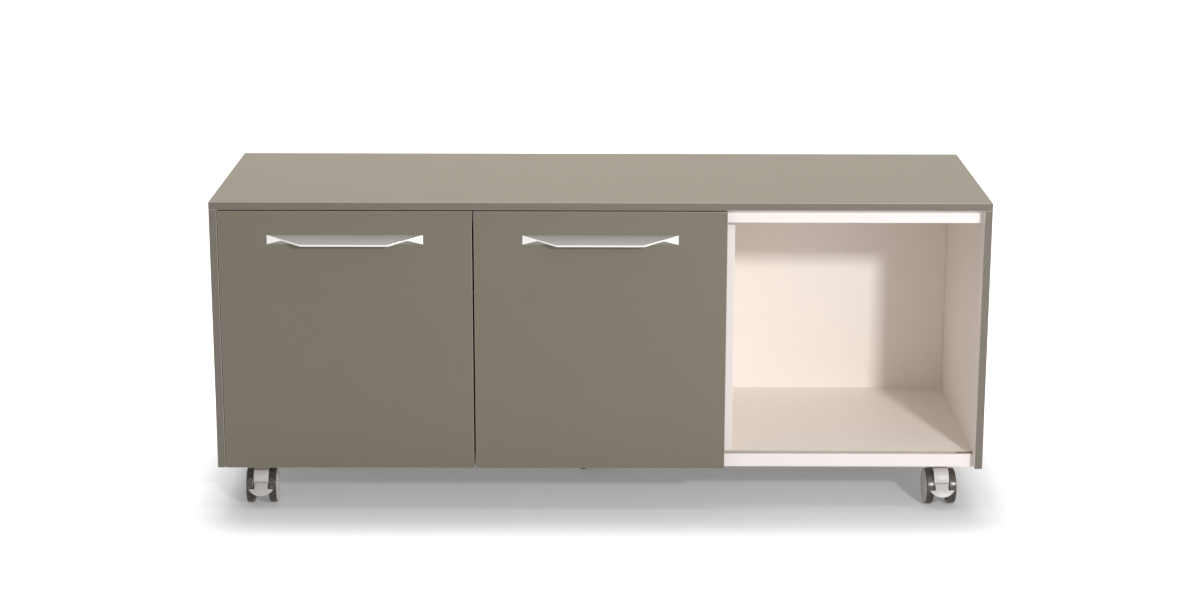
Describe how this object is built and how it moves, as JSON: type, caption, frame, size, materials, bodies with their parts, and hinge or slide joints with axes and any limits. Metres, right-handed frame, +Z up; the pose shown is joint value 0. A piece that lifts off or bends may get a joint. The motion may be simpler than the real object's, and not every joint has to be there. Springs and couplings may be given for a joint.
{
  "type": "office credenza",
  "caption": "Low, wide storage cabinet on twin-wheel casters with flat sliding doors, long bar handles, an open bay and flush grey and white laminated boards.",
  "frame": {"origin": "on the floor under the middle of the bounding box", "axes": "+X along the cabinet to the right as seen from its front, -Y out of the doors, +Z up"},
  "size_m": [1.6, 0.525, 0.662],
  "materials": {
    "grey_laminate": "warm grey melamine laminate, fine matt grain",
    "door_laminate": "warm mid-grey melamine laminate, fine matt grain",
    "white_laminate": "off-white melamine laminate, smooth matt",
    "anodised_aluminium": "satin anodised extrusion",
    "grey_plastic": "extruded track plastic",
    "light_grey_plastic": "moulded caster plastic",
    "nylon": "natural nylon",
    "dark_rubber": "dark soft tread",
    "plated_steel": "zinc plated steel",
    "beech": "plain turned dowel"
  },
  "bodies": {
    "carcass": {"top_panel": "grey_laminate", "left_side_panel": "grey_laminate", "right_side_panel": "grey_laminate", "bottom_panel": "white_laminate", "back_panel": "white_laminate", "left_partition": "white_laminate", "right_partition": "white_laminate", "top_rail": "white_laminate", "top_track": "grey_plastic", "bottom_track": "grey_plastic", "left_bay_shelf": "white_laminate", "middle_bay_shelf": "white_laminate", "shelf_pins": "plated_steel", "carcass_dowels": "beech", "back_screws": "plated_steel", "track_stops": "dark_rubber", "caster_screws": "plated_steel", "front_left_caster_plate": "plated_steel", "front_right_caster_plate": "plated_steel", "rear_left_caster_plate": "plated_steel", "rear_right_caster_plate": "plated_steel", "centre_caster_plate": "plated_steel"},
    "left_door": {"left_door_panel": "door_laminate", "left_door_handle": "anodised_aluminium", "left_handle_screws": "plated_steel", "left_roller_carriers": "plated_steel", "left_top_guides": "nylon", "left_gear_screws": "plated_steel"},
    "right_door": {"right_door_panel": "door_laminate", "right_door_handle": "anodised_aluminium", "right_handle_screws": "plated_steel", "right_roller_carriers": "plated_steel", "right_top_guides": "nylon", "right_gear_screws": "plated_steel"},
    "left_door_roller_1": {"left_door_roller_1": "nylon"},
    "left_door_roller_2": {"left_door_roller_2": "nylon"},
    "right_door_roller_1": {"right_door_roller_1": "nylon"},
    "right_door_roller_2": {"right_door_roller_2": "nylon"},
    "front_left_swivel": {"front_left_caster_hood": "light_grey_plastic", "front_left_caster_axle": "plated_steel"},
    "front_left_wheels": {"front_left_wheel_cores": "light_grey_plastic", "front_left_treads": "dark_rubber"},
    "front_left_pedal": {"front_left_brake_pedal": "light_grey_plastic"},
    "front_right_swivel": {"front_right_caster_hood": "light_grey_plastic", "front_right_caster_axle": "plated_steel"},
    "front_right_wheels": {"front_right_wheel_cores": "light_grey_plastic", "front_right_treads": "dark_rubber"},
    "front_right_pedal": {"front_right_brake_pedal": "light_grey_plastic"},
    "rear_left_swivel": {"rear_left_caster_hood": "light_grey_plastic", "rear_left_caster_axle": "plated_steel"},
    "rear_left_wheels": {"rear_left_wheel_cores": "light_grey_plastic", "rear_left_treads": "dark_rubber"},
    "rear_right_swivel": {"rear_right_caster_hood": "light_grey_plastic", "rear_right_caster_axle": "plated_steel"},
    "rear_right_wheels": {"rear_right_wheel_cores": "light_grey_plastic", "rear_right_treads": "dark_rubber"},
    "centre_swivel": {"centre_caster_hood": "light_grey_plastic", "centre_caster_axle": "plated_steel"},
    "centre_wheels": {"centre_wheel_cores": "light_grey_plastic", "centre_treads": "dark_rubber"}
  },
  "joints": [
    {"name": "right_door_slide", "type": "slide", "parent": "carcass", "child": "right_door", "axis": [1, 0, 0], "range_m": [0, 0.5228]},
    {"name": "left_door_slide", "type": "slide", "parent": "carcass", "child": "left_door", "axis": [1, 0, 0], "range_m": [0, 0.5228]},
    {"name": "left_door_roller_1_turn", "type": "hinge", "parent": "left_door", "child": "left_door_roller_1", "pos_m": [-0.7405, -0.2055, 0.1218], "axis": [0, 1, 0], "range_deg": [0, 2730]},
    {"name": "left_door_roller_2_turn", "type": "hinge", "parent": "left_door", "child": "left_door_roller_2", "pos_m": [-0.30517, -0.2055, 0.1218], "axis": [0, 1, 0], "range_deg": [0, 2730]},
    {"name": "right_door_roller_1_turn", "type": "hinge", "parent": "right_door", "child": "right_door_roller_1", "pos_m": [-0.21767, -0.2055, 0.1218], "axis": [0, 1, 0], "range_deg": [0, 2730]},
    {"name": "right_door_roller_2_turn", "type": "hinge", "parent": "right_door", "child": "right_door_roller_2", "pos_m": [0.21767, -0.2055, 0.1218], "axis": [0, 1, 0], "range_deg": [0, 2730]},
    {"name": "front_left_swivel_turn", "type": "hinge", "parent": "carcass", "child": "front_left_swivel", "pos_m": [-0.716, -0.1535, 0.0815], "axis": [0, 0, 1], "continuous": true},
    {"name": "front_left_wheels_turn", "type": "hinge", "parent": "front_left_swivel", "child": "front_left_wheels", "pos_m": [-0.71485, -0.18648, 0.0375], "axis": [0.9994, 0.0349, 0], "continuous": true},
    {"name": "front_left_pedal_hinge", "type": "hinge", "parent": "front_left_swivel", "child": "front_left_pedal", "pos_m": [-0.71391, -0.21346, 0.05], "axis": [0.9994, 0.0349, 0], "range_deg": [-15, 0]},
    {"name": "front_right_swivel_turn", "type": "hinge", "parent": "carcass", "child": "front_right_swivel", "pos_m": [0.716, -0.1535, 0.0815], "axis": [0, 0, 1], "continuous": true},
    {"name": "front_right_wheels_turn", "type": "hinge", "parent": "front_right_swivel", "child": "front_right_wheels", "pos_m": [0.71773, -0.18646, 0.0375], "axis": [0.9986, 0.0523, 0], "continuous": true},
    {"name": "front_right_pedal_hinge", "type": "hinge", "parent": "front_right_swivel", "child": "front_right_pedal", "pos_m": [0.71914, -0.21342, 0.05], "axis": [0.9986, 0.0523, 0], "range_deg": [-15, 0]},
    {"name": "rear_left_swivel_turn", "type": "hinge", "parent": "carcass", "child": "rear_left_swivel", "pos_m": [-0.716, 0.1785, 0.0815], "axis": [0, 0, 1], "continuous": true},
    {"name": "rear_left_wheels_turn", "type": "hinge", "parent": "rear_left_swivel", "child": "rear_left_wheels", "pos_m": [-0.71084, 0.14591, 0.0375], "axis": [0.9877, 0.1564, 0], "continuous": true},
    {"name": "rear_right_swivel_turn", "type": "hinge", "parent": "carcass", "child": "rear_right_swivel", "pos_m": [0.716, 0.1785, 0.0815], "axis": [0, 0, 1], "continuous": true},
    {"name": "rear_right_wheels_turn", "type": "hinge", "parent": "rear_right_swivel", "child": "rear_right_wheels", "pos_m": [0.71198, 0.14575, 0.0375], "axis": [0.9925, -0.1219, 0], "continuous": true},
    {"name": "centre_swivel_turn", "type": "hinge", "parent": "carcass", "child": "centre_swivel", "pos_m": [0, 0.0125, 0.0815], "axis": [0, 0, 1], "continuous": true},
    {"name": "centre_wheels_turn", "type": "hinge", "parent": "centre_swivel", "child": "centre_wheels", "pos_m": [-0.01893, 0.03953, 0.0375], "axis": [-0.8192, -0.5736, 0], "continuous": true}
  ],
  "couplings": [
    {"joint": "left_door_slide", "follows": "right_door_slide", "ratio": 1},
    {"joint": "left_door_roller_1_turn", "follows": "right_door_slide", "rad_per_m": 90.909},
    {"joint": "left_door_roller_2_turn", "follows": "right_door_slide", "rad_per_m": 90.909},
    {"joint": "right_door_roller_1_turn", "follows": "right_door_slide", "rad_per_m": 90.909},
    {"joint": "right_door_roller_2_turn", "follows": "right_door_slide", "rad_per_m": 90.909}
  ]
}
